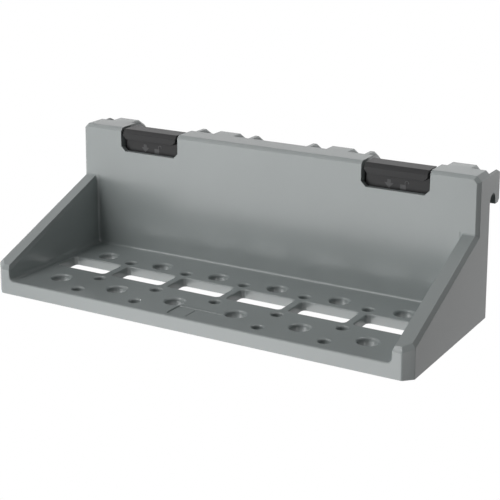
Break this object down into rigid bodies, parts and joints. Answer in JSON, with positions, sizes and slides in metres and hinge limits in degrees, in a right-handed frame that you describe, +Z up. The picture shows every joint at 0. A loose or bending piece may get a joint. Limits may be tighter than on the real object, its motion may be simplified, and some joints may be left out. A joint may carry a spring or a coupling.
{
  "type": "screwdriver rack",
  "caption": "Rail-hung moulded rack: a shelf with bores and slots for screwdrivers between two gussets, rear hooks and two sprung push-down locks.",
  "frame": {"origin": "centre of the bounding box on its underside", "axes": "+X along the rack's width, +Y towards the wall, +Z up; the shelf looks towards -Y"},
  "size_m": [0.4, 0.179, 0.1277],
  "materials": {
    "rack_plastic": "fine matt moulded texture",
    "lock_plastic": "fine matt moulded texture",
    "spring_steel": "drawn wire",
    "screw_steel": "zinc plated"
  },
  "bodies": {
    "rack": {"rack_body": "rack_plastic", "lock_retainer_left": "lock_plastic", "lock_spring_left_outer": "spring_steel", "lock_screw_left_outer": "screw_steel", "lock_spring_left_inner": "spring_steel", "lock_screw_left_inner": "screw_steel", "lock_retainer_right": "lock_plastic", "lock_spring_right_outer": "spring_steel", "lock_screw_right_outer": "screw_steel", "lock_spring_right_inner": "spring_steel", "lock_screw_right_inner": "screw_steel"},
    "slider_left": {"lock_slider_left": "lock_plastic"},
    "slider_right": {"lock_slider_right": "lock_plastic"}
  },
  "joints": [
    {"name": "lock_slide_left", "type": "slide", "parent": "rack", "child": "slider_left", "axis": [0, 0, -1], "range_m": [0, 0.008], "stiffness_N_per_m": 500, "springref_m": -0.006, "deforming": ["lock_spring_left_outer", "lock_spring_left_inner"]},
    {"name": "lock_slide_right", "type": "slide", "parent": "rack", "child": "slider_right", "axis": [0, 0, -1], "range_m": [0, 0.008], "stiffness_N_per_m": 500, "springref_m": -0.006, "deforming": ["lock_spring_right_outer", "lock_spring_right_inner"]}
  ]
}
